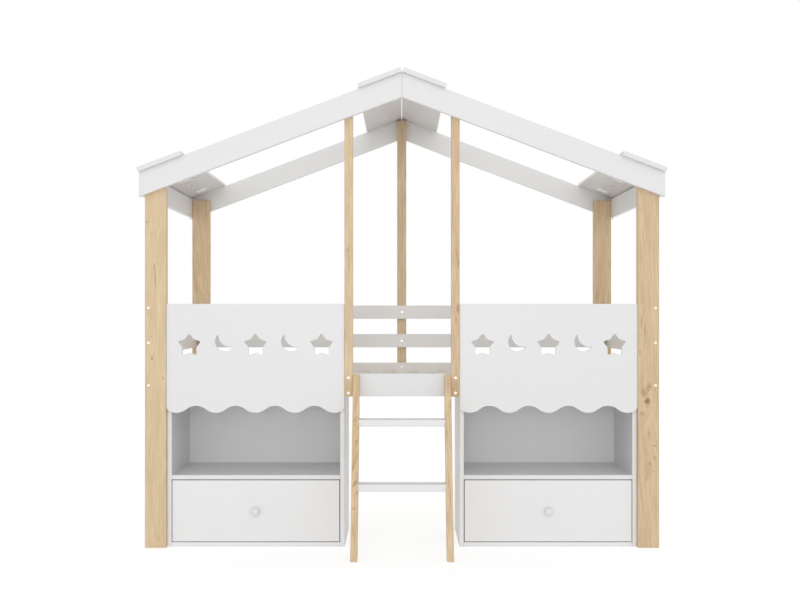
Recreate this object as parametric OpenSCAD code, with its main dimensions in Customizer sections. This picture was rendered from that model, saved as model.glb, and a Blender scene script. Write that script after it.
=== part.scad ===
// House bed: a mid-high child's bed under an open gable roof, with a ladder in the middle
// and two drawer cabinets below. X runs along the bed, Y from the front to the back, Z up.
// Inside the modules Y is counted from the front face of the front posts.

/* [Mattress bay] */
// Clear length between the end rails
bay_l = 2010; // [1900:5:2200]
// Clear width between the side rails
bay_w = 915; // [800:5:1000]

/* [Posts] */
// Width of a corner post, along the bed
post_w = 85; // [70:1:100]
// Thickness of all posts
post_t = 36; // [28:1:40]
// Height of a corner post
post_h = 1493; // [1400:1:1600]
// Clear width between the two entry posts
entry_w = 394; // [350:1:450]
// Width of an entry post
entry_post_w = 34; // [30:1:45]
// How far an entry post reaches up behind the rafter
entry_post_lap = 76; // [60:1:90]
// Width of the rear centre post
rear_post_w = 45; // [40:1:60]
// Drop of the rear centre post's top below the ridge
rear_post_drop = 16; // [12:1:40]
// Radius of the eased long edges
edge_r = 2; // [1:0.5:4]

/* [Rails] */
// Height of the rails' underside over the floor
rail_z = 605; // [560:1:640]
// Height of a rail board
rail_h = 91; // [80:1:110]
// Thickness of a side rail
side_rail_t = 22; // [18:1:28]
// Thickness of an end rail
end_rail_t = 20; // [18:1:26]
// Step from a post's outer edge in to the end rail
end_rail_inset = 5; // [2:1:10]
// How far the side rails reach behind the corner posts
rail_lap = 40; // [34:1:48]
// Depth of the notches in the front posts, for the front rail and guards
notch_d = 14; // [6:1:16]
// Gap between a rail and the shoulders of its notch
notch_gap = 0.3; // [0.1:0.1:1]
// Height of a guard rail board
guard_h = 65; // [50:1:75]
// Underside of the lower guard rails
guard_low_z = 771; // [740:1:790]
// Underside of the upper guard rails
guard_high_z = 911; // [875:1:911]

/* [Slats] */
// Width of a slat
slat_w = 60; // [50:1:80]
// Thickness of a slat
slat_t = 18; // [15:1:22]
// Distance from one slat to the next
slat_pitch = 125; // [110:1:140]
// Thickness of a slat ledger
ledger_w = 20; // [18:1:30]
// Height of a slat ledger
ledger_h = 28; // [20:1:30]
// Step from a side rail's end to the ledger's end
ledger_inset = 5; // [0:1:20]
// Gap between a slat's end and the side rail
slat_gap = 1.5; // [1:0.5:4]

/* [Front panels] */
// Thickness of a front panel
panel_t = 16; // [12:1:22]
// Top edge of a front panel over the floor
panel_top_z = 977; // [976:1:1000]
// Lowest points of the scalloped edge over the floor
panel_low_z = 540; // [520:1:560]
// Gap between a panel and the post beside it
panel_gap = 0.5; // [0.2:0.1:2]
// Nominal distance from one scallop to the next
scallop_pitch = 158; // [140:1:170]
// Rise from the lowest to the highest points of the scallops
scallop_rise = 28; // [20:1:34]
// Distance from the last scallop's lowest point to the panel's side
scallop_margin = 40; // [36:1:44]
// Radius of a panel's lower corners
corner_r = 20; // [12:1:24]
// Distance from the panel's side to its bolts
panel_bolt_inset = 91; // [60:1:110]

/* [Stars and moons] */
// Outer radius of a star
star_r = 49; // [35:1:52]
// Radius of a star's inner corners
star_inner_r = 30; // [20:1:32]
// Radius of a star's rounded tips
star_tip_r = 4; // [1:0.5:6]
// Distance from one star to the next
star_pitch = 265; // [250:1:280]
// Height of the stars' centres over the floor
star_z = 811; // [790:1:830]
// Distance from a star to the moon after it
moon_offset = 141; // [130:1:145]
// Height of the moons' centres over the stars' centres
moon_rise = 14; // [0:1:25]
// Radius of a moon's outer edge
moon_r = 38; // [30:1:42]
// Radius of a moon's hollow edge
moon_hollow_r = 47; // [42:1:55]
// Shift of the hollow edge's centre, sideways
moon_shift_x = 22.5; // [18:0.5:26]
// Shift of the hollow edge's centre, upwards
moon_shift_z = 26.5; // [22:0.5:30]

/* [Roof] */
// Slope of the roof, in degrees
pitch = 20.8; // [15:0.05:27]
// Rise of the rafter's top edge over the corner post, at the post's outer edge
eave_rise = 15; // [10:0.5:30]
// Depth of a rafter board, square to the slope
rafter_w = 91; // [80:1:110]
// Thickness of a rafter board
rafter_t = 24; // [16:1:28]
// Width of an eave board, along the slope
eave_board_w = 186; // [150:1:210]
// Width of a ridge board, along the slope
ridge_board_w = 182; // [150:1:210]
// Thickness of a roof board
roof_board_t = 18; // [15:1:22]
// Reach of the roof boards past the rafters' faces
roof_overhang = 18; // [10:1:40]
// Gap between the two ridge boards' lower edges
ridge_gap = 2; // [1:0.5:6]
// Thickness of an eave fascia board
fascia_t = 18; // [15:1:22]
// Height of an eave fascia board
fascia_h = 90; // [80:1:100]
// Gap between a fascia's top corner and the eave board over it
fascia_gap = 2; // [0.2:0.2:4]
// Distance from one cut-out to the next in an eave board
roof_motif_pitch = 192; // [150:1:210]

/* [Ladder] */
// Lean of the ladder from upright, in degrees
ladder_lean = 19.6; // [15:0.1:24]
// Thickness of a stringer, along the bed
stringer_t = 26; // [24:1:34]
// Depth of a stringer, square to its length
stringer_w = 68; // [54:1:76]
// Gap between a stringer and the entry post beside it
ladder_gap = 0.5; // [0.2:0.1:1.5]
// Drop of the stringers' tops below the rail's top edge
ladder_drop = 3; // [1:1:10]
// Thickness of a tread
tread_t = 27; // [22:1:32]
// Depth of a tread
tread_w = 64; // [46:1:64]
// Top of the first tread over the floor
first_tread_z = 277; // [240:0.5:290]
// Rise from one tread to the next
tread_rise = 242; // [220:1:260]

/* [Cabinets] */
// Depth of a cabinet with its back
cab_d = 375; // [300:5:450]
// Thickness of the cabinet boards
cab_t = 18; // [15:1:22]
// Thickness of a cabinet's back
back_t = 5; // [3:1:8]
// Clear height of the drawer bay
drawer_bay_h = 252; // [210:1:270]

/* [Drawers] */
// Gap around a drawer front
front_gap = 3; // [2:0.5:5]
// Height of a drawer side
drawer_side_h = 180; // [150:5:195]
// Height of the drawer sides' lower edges over the cabinet bottom
drawer_side_rise = 14; // [10:1:20]
// Thickness of the drawer's sides and back
drawer_side_t = 15; // [12:1:18]
// Clear depth behind a closed drawer
drawer_room = 22; // [15:1:120]
// Thickness of the drawer bottom
drawer_bottom_t = 5; // [3:1:8]
// Depth of the grooves that hold the drawer bottom
bottom_groove = 6; // [4:1:8]
// Height of the drawer bottom over the sides' lower edges
bottom_rise = 12; // [8:1:20]
// Gap between a drawer side and the cabinet side
side_gap = 4.5; // [3:0.5:7]
// Height of a wooden runner
runner_h = 16; // [12:1:22]
// Reach of a runner into the drawer side's groove
runner_bite = 7; // [5:1:9]
// Running gap between a runner and its groove
run_gap = 0.3; // [0.2:0.05:0.5]
// Distance from the drawer front's back to the end of the groove
groove_stop = 30; // [20:1:50]
// Diameter of the knob
knob_d = 33; // [30:1:40]
// Reach of the knob in front of the drawer
knob_l = 29; // [28:1:34]
// Diameter of the knob's foot
knob_foot_d = 18; // [14:1:19]
// Diameter of the knob's neck
knob_neck_d = 12.6; // [12:0.2:16]
// Radius of the knob's rim
knob_rim_r = 11; // [8:0.5:11]
// Height of the slope from the neck to the rim
knob_slope = 3; // [2:0.5:5]
// Rise of the knob's crown over its rim
knob_crown = 1; // [0.5:0.25:2]

/* [Fasteners] */
// Diameter of a bolt's head
bolt_head_d = 13; // [10:0.5:15]
// Height of a bolt's head
bolt_head_h = 2.5; // [2:0.5:4]
// Width of the rounding on a bolt's head
head_rounding = 1.5; // [1:0.1:2]
// Width of the hexagonal socket, over its corners
socket_d = 5; // [4:0.5:6]
// Depth of the hexagonal socket
socket_depth = 1.5; // [1:0.1:2]
// Diameter of a bolt
bolt_d = 6; // [5:0.5:8]
// Diameter of a screw's recessed head
screw_head_d = 9; // [7:0.5:11]
// Height of a screw's recessed head
screw_head_h = 3; // [2:0.5:4]
// Diameter of a screw
screw_d = 4; // [3:0.5:5]
// Diameter of a barrel nut
nut_d = 10; // [9:0.5:12]
// Gap around each fastener in its hole
hole_gap = 0.1; // [0.05:0.05:0.3]
// Depth that an end rail's bolt reaches into it
end_bolt_bite = 42; // [38:1:60]
// Depth that a screw reaches into the board behind
screw_bite = 14; // [10:1:14]
// Depth that a runner's screw reaches into the cabinet side
runner_screw_bite = 12; // [8:1:14]
// Depth of a screw hole past the screw's end
hole_rest = 0.5; // [0.2:0.1:2]
// Drop of an end guard's bolts below its top edge
guard_bolt_drop = 15; // [9:1:31]
// Distance from an end rail's end to its barrel nuts
nut_inset = 30; // [20:1:38]
// Wall left behind a barrel nut
nut_wall = 5.3; // [3:0.1:8]
// Depth of a barrel nut's face below the rail's surface
nut_sink = 0.5; // [0.2:0.1:2]
// Distance between the two bolts in the foot of an entry post
entry_bolt_step = 61; // [40:1:64]
// Height of the rear centre post's lowest bolt over the rail's middle
rear_bolt_rise = 24; // [10:1:30]
// Height of the rear centre post's screw over the rail's underside, clear of the ledger
rear_screw_rise = 38; // [34:1:46]
// Distance from a rail's free edges to its screws
rail_screw_edge = 14; // [8:1:18]
// Height of the ledger's screws over its underside
ledger_screw_rise = 7; // [6:1:9]
// Distance from a corner post's edges to the rafter's screws
rafter_screw_edge = 22; // [12:1:30]
// Height of those screws over the rafter's lower edge
rafter_screw_rise = 30; // [20:1:40]
// Distance from the fascia's edges to its screws
fascia_screw_edge = 20; // [12:1:30]
// Distance from the cabinet boards' ends to their screws
cab_screw_edge = 60; // [30:1:80]
// Distance from a runner's ends to its outer screws
runner_screw_edge = 40; // [20:1:60]
// Distance from a drawer side's edges to its screws and dowels
drawer_joint_edge = 40; // [30:1:50]
// Diameter of a dowel
dowel_d = 8; // [6:1:10]
// Length of a dowel
dowel_l = 32; // [25:1:40]
// Depth that a dowel reaches into the drawer front
dowel_in_front = 12; // [8:1:14]

/* [Hidden] */
$fn = 48;
LEFT = -1;
RIGHT = 1;
WOOD = [0.87, 0.77, 0.62];
PALE_WOOD = [0.91, 0.85, 0.74];
WHITE = [0.93, 0.93, 0.93];
PLY = [0.88, 0.82, 0.7];
STEEL = [0.78, 0.78, 0.8];
BACK = [0, 1, 0];
FRONT = [0, -1, 0];
UP = [0, 0, 1];
DOWN = [0, 0, -1];
INWARD = [-1, 0, 0];
OUTWARD = [1, 0, 0];

// Main planes, along the bed and from front to back
half_l = bay_l / 2 + end_rail_t + end_rail_inset;
post_in = half_l - post_w;
rail_half = post_in + rail_lap;
end_rail_x = (bay_l + end_rail_t) / 2;
rail_y = post_t - notch_d;
bay_y0 = rail_y + side_rail_t;
bay_y1 = bay_y0 + bay_w;
rear_post_y = bay_y1 + side_rail_t;
depth = rear_post_y + post_t;
entry_in = entry_w / 2;
entry_out = entry_in + entry_post_w;
entry_x = entry_in + entry_post_w / 2;
rail_top = rail_z + rail_h;
rail_mid = rail_z + rail_h / 2;
lap_x = post_in + rail_lap / 2;

// Roof lines: heights on the rafters' top and lower edges at a distance x from the ridge
ridge_z = post_h + eave_rise + half_l * tan(pitch);
rafter_v = rafter_w / cos(pitch);
eave_x = half_l + fascia_t;
function roof_z(x) = ridge_z - abs(x) * tan(pitch);
function rafter_low_z(x) = roof_z(x) - rafter_v;
eave_s = eave_x / cos(pitch);
roof_y0 = -rafter_t - roof_overhang;
roof_y1 = depth + rafter_t + roof_overhang;

// Slats
slat_z = rail_z + ledger_h;
slats_per_side = floor((bay_l / 2 - slat_w / 2) / slat_pitch - 0.5) + 1;
slat_xs = [for (i = [-slats_per_side : slats_per_side - 1]) (i + 0.5) * slat_pitch];
ledger_xs = [for (i = [-2 : 2]) i * floor((rail_half - slat_pitch / 2) / 2)];

// Ladder: the front edge of a stringer is at y = foot_y + z * tan(ladder_lean)
ladder_top = rail_top - ladder_drop;
foot_y = -ladder_top * tan(ladder_lean);
stringer_h = stringer_w / cos(ladder_lean);
stringer_out = entry_in - ladder_gap;
stringer_in = stringer_out - stringer_t;
tread_count = floor((rail_z - first_tread_z) / tread_rise) + 1;
tread_tops = [for (i = [0 : tread_count - 1]) first_tread_z + i * tread_rise];
function ladder_y(z) = foot_y + z * tan(ladder_lean) + stringer_h / 2;

// Cabinets, each between the planes of a corner post and an entry post
cab_x0 = entry_out;
cab_x1 = post_in;
cab_mid = (cab_x0 + cab_x1) / 2;
cab_in0 = cab_x0 + cab_t;
cab_in1 = cab_x1 - cab_t;
cab_y0 = rail_y;
cab_y1 = cab_y0 + cab_d;
cab_back_y = cab_y1 - back_t;
shelf_z = cab_t + drawer_bay_h;
cab_top_z = rail_z - cab_t;

// Drawers
front_x0 = cab_in0 + front_gap;
front_x1 = cab_in1 - front_gap;
front_z0 = cab_t + front_gap;
front_z1 = shelf_z - front_gap;
box_x0 = cab_in0 + side_gap;
box_x1 = cab_in1 - side_gap;
box_y0 = cab_y0 + cab_t;
box_y1 = cab_back_y - drawer_room;
box_z0 = cab_t + drawer_side_rise;
box_z1 = box_z0 + drawer_side_h;
bottom_z = box_z0 + bottom_rise;
runner_z = box_z0 + (drawer_side_h - runner_h) / 2;
groove_y0 = box_y0 + groove_stop;
knob_z = (front_z0 + front_z1) / 2;
sheet_gap = 0.2;
glue_gap = 0.1;
cut = 1;

// The part's origin is under the middle of its bounding box
y_mid = (foot_y + roof_y1) / 2;

// Points along an arc, without the last one
function arc_points(c, r, a0, a1, n) =
    [for (i = [0 : n - 1]) let (a = a0 + (a1 - a0) * i / n) c + r * [cos(a), sin(a)]];
function unit(v) = v / norm(v);
// Points that round the corner p between its neighbours a and b
function fillet(a, p, b, r, n) =
    let (u = unit(a - p), v = unit(b - p), half = acos(u * v) / 2,
         c = p + unit(u + v) * r / sin(half),
         s = p + u * r / tan(half) - c,
         turn = (u.x * v.y - u.y * v.x > 0 ? -1 : 1) * (180 - 2 * half))
    [for (i = [0 : n]) let (t = turn * i / n)
        c + [s.x * cos(t) - s.y * sin(t), s.x * sin(t) + s.y * cos(t)]];
// A closed outline with every corner rounded
function rounded(pts, r, n) =
    [for (i = [0 : len(pts) - 1])
        each fillet(pts[(i + len(pts) - 1) % len(pts)], pts[i], pts[(i + 1) % len(pts)], r, n)];
function rectangle(a, b) = [[a.x, a.y], [b.x, a.y], [b.x, b.y], [a.x, b.y]];

// The section of a board with eased edges, and boards that lie along one axis
module eased(a, b) polygon(rounded(rectangle(a, b), edge_r, 3));
module plank_x(lo, hi)
    translate([lo.x, 0, 0]) rotate([90, 0, 90])
        linear_extrude(hi.x - lo.x) eased([lo.y, lo.z], [hi.y, hi.z]);
module plank_y(lo, hi)
    translate([0, hi.y, 0]) rotate([90, 0, 0])
        linear_extrude(hi.y - lo.y) eased([lo.x, lo.z], [hi.x, hi.z]);
module plank_z(lo, hi)
    translate([0, 0, lo.z])
        linear_extrude(hi.z - lo.z) eased([lo.x, lo.y], [hi.x, hi.y]);
module block(lo, hi) translate(lo) cube(hi - lo);
// A plate in the X-Z plane, from y0 back to y1
module plate_xz(pts, y0, y1) translate([0, y1, 0]) rotate([90, 0, 0]) linear_extrude(y1 - y0) polygon(pts);
// A plate in the Y-Z plane, from x0 to x1
module plate_yz(pts, x0, x1) translate([x0, 0, 0]) rotate([90, 0, 90]) linear_extrude(x1 - x0) polygon(pts);

// What is drawn for the right side, mirrored for the left
module sided(side) {
    if (side == LEFT) mirror([1, 0, 0]) children();
    else children();
}
// The slope of one roof side: X runs down the slope from the ridge, Z stands out of it
module on_slope(side) sided(side) translate([0, 0, ridge_z]) rotate([0, pitch, 0]) children();
module in_place() translate([0, -y_mid, 0]) children();

// Fasteners. Each is [place of the head's seat, direction, length, kind].
BOLT = "bolt";
SCREW = "screw";
function head_r(f) = (f[3] == BOLT ? bolt_head_d : screw_head_d) / 2;
function shank_r(f) = (f[3] == BOLT ? bolt_d : screw_d) / 2;
function aim(v) = v.z != 0 ? [v.z < 0 ? 180 : 0, 0, 0] : v.y != 0 ? [v.y > 0 ? -90 : 90, 0, 0]
    : [0, v.x > 0 ? 90 : -90, 0];
function overlaps(a, b, lo, hi, m) = min(a, b) - m < hi && max(a, b) + m > lo;
function crosses(f, lo, hi) =
    let (a = f[0], b = f[0] + f[1] * f[2], m = shank_r(f))
    overlaps(a.x, b.x, lo.x, hi.x, m) && overlaps(a.y, b.y, lo.y, hi.y, m)
    && overlaps(a.z, b.z, lo.z, hi.z, m);
// A bolt has a domed head with a hexagonal socket, on the surface. A screw's head lies flush in a recess.
module bolt(f) {
    r = head_r(f);
    difference() {
        rotate_extrude() polygon([[0, -bolt_head_h], [r - head_rounding, -bolt_head_h],
            [r, head_rounding - bolt_head_h], [r, 0], [shank_r(f), 0], [shank_r(f), f[2]], [0, f[2]]]);
        translate([0, 0, -bolt_head_h - cut]) cylinder(d = socket_d, h = cut + socket_depth, $fn = 6);
    }
}
module screw(f)
    rotate_extrude() polygon([[0, 0], [head_r(f), 0], [head_r(f), screw_head_h], [shank_r(f), screw_head_h],
        [shank_r(f), f[2] - shank_r(f)], [0, f[2]]]);
module fastener(f) translate(f[0]) rotate(aim(f[1])) if (f[3] == BOLT) bolt(f); else screw(f);
module fasteners(list) for (f = list) fastener(f);
module hole(f) {
    r = shank_r(f) + hole_gap;
    end = f[2] + hole_rest;
    seat = screw_head_h + hole_gap;
    seat_r = head_r(f) + hole_gap;
    translate(f[0]) rotate(aim(f[1])) rotate_extrude()
        polygon(f[3] == BOLT ? [[0, -cut], [r, -cut], [r, end], [0, end]]
            : [[0, -cut], [seat_r, -cut], [seat_r, seat], [r, seat], [r, end], [0, end]]);
}
// Children with the holes of those fasteners that cross the box from lo to hi
module drilled(lo, hi, list) difference() {
    children();
    for (f = list) if (crosses(f, lo, hi)) hole(f);
}
module board_x(lo, hi, list) drilled(lo, hi, list) plank_x(lo, hi);
module board_y(lo, hi, list) drilled(lo, hi, list) plank_y(lo, hi);
module board_z(lo, hi, list) drilled(lo, hi, list) plank_z(lo, hi);

// Where the fasteners go
end_bolt_zs = [rail_mid, guard_low_z + guard_h - guard_bolt_drop, guard_high_z + guard_h - guard_bolt_drop];
end_bolts = [for (s = [LEFT, RIGHT], z = end_bolt_zs, rear = [0, 1])
    [[s * end_rail_x, rear * depth, z], rear ? FRONT : BACK, post_t + end_bolt_bite, BOLT]];
nut_l = end_rail_t - nut_sink - nut_wall - 2 * hole_gap;
nut_ys = [post_t + nut_inset, depth - post_t - nut_inset];
panel_in = entry_out + panel_gap;
panel_out = post_in - panel_gap;
panel_bolt_zs = [rail_mid, guard_high_z + guard_h / 2];
panel_bolts = [for (s = [LEFT, RIGHT], x = [panel_in + panel_bolt_inset, panel_out - panel_bolt_inset],
    z = panel_bolt_zs) [[s * x, rail_y - panel_t, z], BACK, panel_t + screw_bite, BOLT]];
entry_bolt_zs = [rail_mid - entry_bolt_step / 2, rail_mid + entry_bolt_step / 2];
entry_bolts = [for (s = [LEFT, RIGHT], z = entry_bolt_zs)
    [[s * entry_x, 0, z], BACK, rail_y + screw_bite, BOLT]];
rear_bolts = [for (z = [rail_mid + rear_bolt_rise, guard_low_z + guard_h / 2, guard_high_z + guard_h / 2])
    [[0, bay_y1, z], BACK, side_rail_t + screw_bite, BOLT]];
front_bolts_list = concat(panel_bolts, entry_bolts, rear_bolts);
rear_post_screw = [[0, bay_y1, rail_z + rear_screw_rise], BACK, side_rail_t + screw_bite, SCREW];
rail_end_zs = [rail_top - rail_screw_edge, slat_z + rail_screw_edge];
front_rail_screws = [for (s = [LEFT, RIGHT], z = rail_end_zs)
    [[s * lap_x, bay_y0, z], FRONT, side_rail_t + screw_bite, SCREW]];
front_guard_screws = [for (s = [LEFT, RIGHT], x = [lap_x, entry_x])
    [[s * x, bay_y0, guard_high_z + guard_h / 2], FRONT, side_rail_t + screw_bite, SCREW]];
rear_rail_screws = [for (s = [LEFT, RIGHT], z = concat(rail_end_zs, [guard_low_z + guard_h / 2,
    guard_high_z + guard_h / 2])) [[s * lap_x, bay_y1, z], BACK, side_rail_t + screw_bite, SCREW]];
stringer_x = (stringer_in + stringer_out) / 2;
// A stringer's lower screw goes through the ledger too
ledger_screw_z = rail_z + ledger_screw_rise;
ladder_screws = concat(
    [for (s = [LEFT, RIGHT])
        [[s * stringer_x, bay_y0, rail_top - rail_screw_edge], FRONT, side_rail_t + screw_bite, SCREW]],
    [for (s = [LEFT, RIGHT]) [[s * stringer_x, bay_y0 + ledger_w, ledger_screw_z], FRONT,
        ledger_w + side_rail_t + screw_bite, SCREW]]);
tread_screws = [for (s = [LEFT, RIGHT], z = tread_tops, dy = [-tread_w / 4, tread_w / 4])
    [[s * stringer_out, ladder_y(z - tread_t / 2) + dy, z - tread_t / 2], [-s, 0, 0],
        stringer_t + 2 * screw_bite, SCREW]];
joint_screws_list = concat(front_rail_screws, front_guard_screws, rear_rail_screws, ladder_screws,
    tread_screws);
corner_screw_xs = [post_in + rafter_screw_edge, half_l - rafter_screw_edge];
function thirds(z, h) = [z + h / 3, z + 2 * h / 3];
front_rafter_screws = concat(
    [for (s = [LEFT, RIGHT], x = corner_screw_xs)
        [[s * x, post_t, rafter_low_z(x) + rafter_screw_rise], FRONT, post_t + rafter_t / 2, SCREW]],
    [for (s = [LEFT, RIGHT], z = thirds(rafter_low_z(entry_x), entry_post_lap))
        [[s * entry_x, post_t, z], FRONT, post_t + rafter_t / 2, SCREW]]);
rear_y1 = depth + rafter_t;
rear_rafter_screws = concat(
    [for (s = [LEFT, RIGHT], x = corner_screw_xs)
        [[s * x, rear_y1, rafter_low_z(x) + rafter_screw_rise], FRONT, rafter_t + screw_bite, SCREW]],
    [for (s = [LEFT, RIGHT], z = thirds(rafter_low_z(0), rafter_v - rear_post_drop))
        [[s * rear_post_w / 4, rear_y1, z], FRONT, rafter_t + screw_bite, SCREW]]);
fascia_z = roof_z(eave_x) - fascia_gap - fascia_h;
fascia_screw_zs = [fascia_z + fascia_screw_edge, fascia_z + fascia_h - fascia_screw_edge];
fascia_screws = [for (s = [LEFT, RIGHT], y = [post_t / 2, depth - post_t / 2], z = fascia_screw_zs)
    [[s * eave_x, y, z], [-s, 0, 0], fascia_t + 2 * screw_bite, SCREW]];
// Roof screws are placed on the slope, counted from the ridge and from the roof boards' top
ridge_s = ridge_gap / 2;
roof_screw_ss = concat([for (k = [1, 3]) ridge_s + k * ridge_board_w / 4],
    [for (k = [1, 3]) eave_s - k * eave_board_w / 4]);
roof_screws_slope = [for (s0 = roof_screw_ss, y = [-rafter_t / 2, depth + rafter_t / 2])
    [[s0, y, roof_board_t], DOWN, roof_board_t + 2 * screw_bite, SCREW]];
slat_screws_list = concat(
    [for (x = slat_xs, y = [bay_y0 + ledger_w / 2, bay_y1 - ledger_w / 2])
        [[x, y, slat_z + slat_t], DOWN, slat_t + screw_bite, SCREW]],
    [for (x = ledger_xs) [[x, bay_y0 + ledger_w, ledger_screw_z], FRONT, ledger_w + screw_bite, SCREW]],
    [for (x = ledger_xs) [[x, bay_y1 - ledger_w, ledger_screw_z], BACK, ledger_w + screw_bite, SCREW]]);
// Cabinet and drawer fasteners, for the right side
cab_board_zs = [cab_t / 2, shelf_z + cab_t / 2, cab_top_z + cab_t / 2];
cab_screw_ys = [cab_y0 + cab_screw_edge, cab_back_y - cab_screw_edge];
carcass_screws = concat(
    [for (z = cab_board_zs, y = cab_screw_ys) [[cab_x0, y, z], OUTWARD, cab_t + 2 * screw_bite, SCREW]],
    [for (z = cab_board_zs, y = cab_screw_ys) [[cab_x1, y, z], INWARD, cab_t + 2 * screw_bite, SCREW]]);
cab_rail_screws = [for (x = [cab_in0 + 2 * cab_screw_edge, cab_in1 - 2 * cab_screw_edge])
    [[x, rail_y + side_rail_t / 2, cab_top_z], UP, cab_t + 2 * screw_bite, SCREW]];
runner_x0 = box_x0 + runner_bite;
runner_x1 = box_x1 - runner_bite;
runner_ys = [groove_y0 + runner_screw_edge, (groove_y0 + box_y1) / 2, box_y1 - runner_screw_edge];
runner_screw_l = side_gap + runner_bite + runner_screw_bite;
runner_screws = concat(
    [for (y = runner_ys) [[runner_x0, y, runner_z + runner_h / 2], INWARD, runner_screw_l, SCREW]],
    [for (y = runner_ys) [[runner_x1, y, runner_z + runner_h / 2], OUTWARD, runner_screw_l, SCREW]]);
cabinet_screws_side = concat(carcass_screws, cab_rail_screws, runner_screws);
drawer_back_zs = [box_z0 + drawer_joint_edge, box_z1 - drawer_joint_edge];
drawer_screws = concat(
    [for (z = drawer_back_zs)
        [[box_x0, box_y1 - drawer_side_t / 2, z], OUTWARD, drawer_side_t + 2 * screw_bite, SCREW]],
    [for (z = drawer_back_zs)
        [[box_x1, box_y1 - drawer_side_t / 2, z], INWARD, drawer_side_t + 2 * screw_bite, SCREW]],
    [[[cab_mid, box_y0, knob_z], FRONT, cab_t + knob_l / 2, SCREW]]);
drawer_side_xs = [box_x0 + drawer_side_t / 2, box_x1 - drawer_side_t / 2];
drawer_dowels = [for (x = drawer_side_xs, z = drawer_back_zs) [x, z]];

// Posts and rails
corner_post_holes = concat(end_bolts, joint_screws_list, front_rafter_screws, rear_rafter_screws,
    fascia_screws);
module corner_post(side, y0) {
    lo = [side == LEFT ? -half_l : post_in, y0, 0];
    board_z(lo, lo + [post_w, post_t, post_h], corner_post_holes);
}
// Notches in the backs of the front posts, where the front rail and the guards lie in them
module rail_notches(end_x)
    for (z = [[rail_z, rail_top], [guard_high_z, guard_high_z + guard_h]])
        block([-end_x, rail_y, z[0] - notch_gap], [end_x, post_t + cut, z[1] + notch_gap]);
module corner_post_front(side)
    in_place() color(WOOD) difference() {
        corner_post(side, 0);
        rail_notches(rail_half + notch_gap);
    }
module corner_post_rear(side) in_place() color(WOOD) corner_post(side, rear_post_y);
module corner_post_front_left() corner_post_front(LEFT);
module corner_post_front_right() corner_post_front(RIGHT);
module corner_post_rear_left() corner_post_rear(LEFT);
module corner_post_rear_right() corner_post_rear(RIGHT);

module entry_post(side) {
    lo = [side == LEFT ? -entry_out : entry_in, 0, rail_z];
    hi = [lo.x + entry_post_w, post_t, rafter_low_z(entry_x) + entry_post_lap];
    in_place() color(WOOD) difference() {
        board_z(lo, hi, concat(front_bolts_list, front_guard_screws, front_rafter_screws));
        rail_notches(entry_out + cut);
    }
}
module entry_post_left() entry_post(LEFT);
module entry_post_right() entry_post(RIGHT);

module rear_center_post() {
    lo = [-rear_post_w / 2, rear_post_y, rail_z];
    hi = [rear_post_w / 2, depth, ridge_z - rear_post_drop];
    in_place() color(WOOD) board_z(lo, hi, concat(rear_bolts, rear_rafter_screws, [rear_post_screw]));
}

module cabinet_rail_holes() for (s = [LEFT, RIGHT]) sided(s) for (f = cab_rail_screws) hole(f);
module front_side_rail()
    in_place() color(WHITE) difference() {
        board_x([-rail_half, rail_y, rail_z], [rail_half, bay_y0, rail_top],
            concat(front_bolts_list, joint_screws_list, slat_screws_list));
        cabinet_rail_holes();
    }
module rear_side_rail()
    in_place() color(WHITE)
        board_x([-rail_half, bay_y1, rail_z], [rail_half, rear_post_y, rail_top],
            concat(rear_bolts, joint_screws_list, slat_screws_list, [rear_post_screw]));

// An end rail or guard with the holes of its bolts and barrel nuts
module end_board(side, z0, h, bolt_z) {
    x0 = side == LEFT ? -bay_l / 2 - end_rail_t : bay_l / 2;
    difference() {
        board_y([x0, post_t, z0], [x0 + end_rail_t, depth - post_t, z0 + h], end_bolts);
        for (y = nut_ys)
            sided(side) translate([bay_l / 2 - cut, y, bolt_z]) rotate([0, 90, 0])
                cylinder(r = nut_d / 2 + hole_gap, h = cut + end_rail_t - nut_wall);
    }
}
module end_rail(side) in_place() color(WHITE) end_board(side, rail_z, rail_h, end_bolt_zs[0]);
module left_end_rail() end_rail(LEFT);
module right_end_rail() end_rail(RIGHT);
module end_guards(side) in_place() color(WHITE) {
    end_board(side, guard_low_z, guard_h, end_bolt_zs[1]);
    end_board(side, guard_high_z, guard_h, end_bolt_zs[2]);
}
module left_guard_rails() end_guards(LEFT);
module right_guard_rails() end_guards(RIGHT);
module rear_guard_rails()
    in_place() color(WHITE) for (z = [guard_low_z, guard_high_z])
        board_x([-rail_half, bay_y1, z], [rail_half, rear_post_y, z + guard_h],
            concat(rear_bolts, rear_rail_screws));
module front_guard_rails()
    in_place() color(WHITE) for (s = [LEFT, RIGHT]) {
        x0 = s == LEFT ? -rail_half : entry_in;
        board_x([x0, rail_y, guard_high_z], [x0 + rail_half - entry_in, bay_y0, guard_high_z + guard_h],
            concat(panel_bolts, front_guard_screws));
    }

// Slats on their ledgers
module slat_ledgers()
    in_place() color(PALE_WOOD) for (y = [bay_y0, bay_y1 - ledger_w])
        board_x([ledger_inset - rail_half, y, rail_z], [rail_half - ledger_inset, y + ledger_w, slat_z],
            concat(slat_screws_list, ladder_screws));
module bed_slats()
    in_place() color(PALE_WOOD) for (x = slat_xs)
        board_y([x - slat_w / 2, bay_y0 + slat_gap, slat_z],
            [x + slat_w / 2, bay_y1 - slat_gap, slat_z + slat_t], slat_screws_list);

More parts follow.
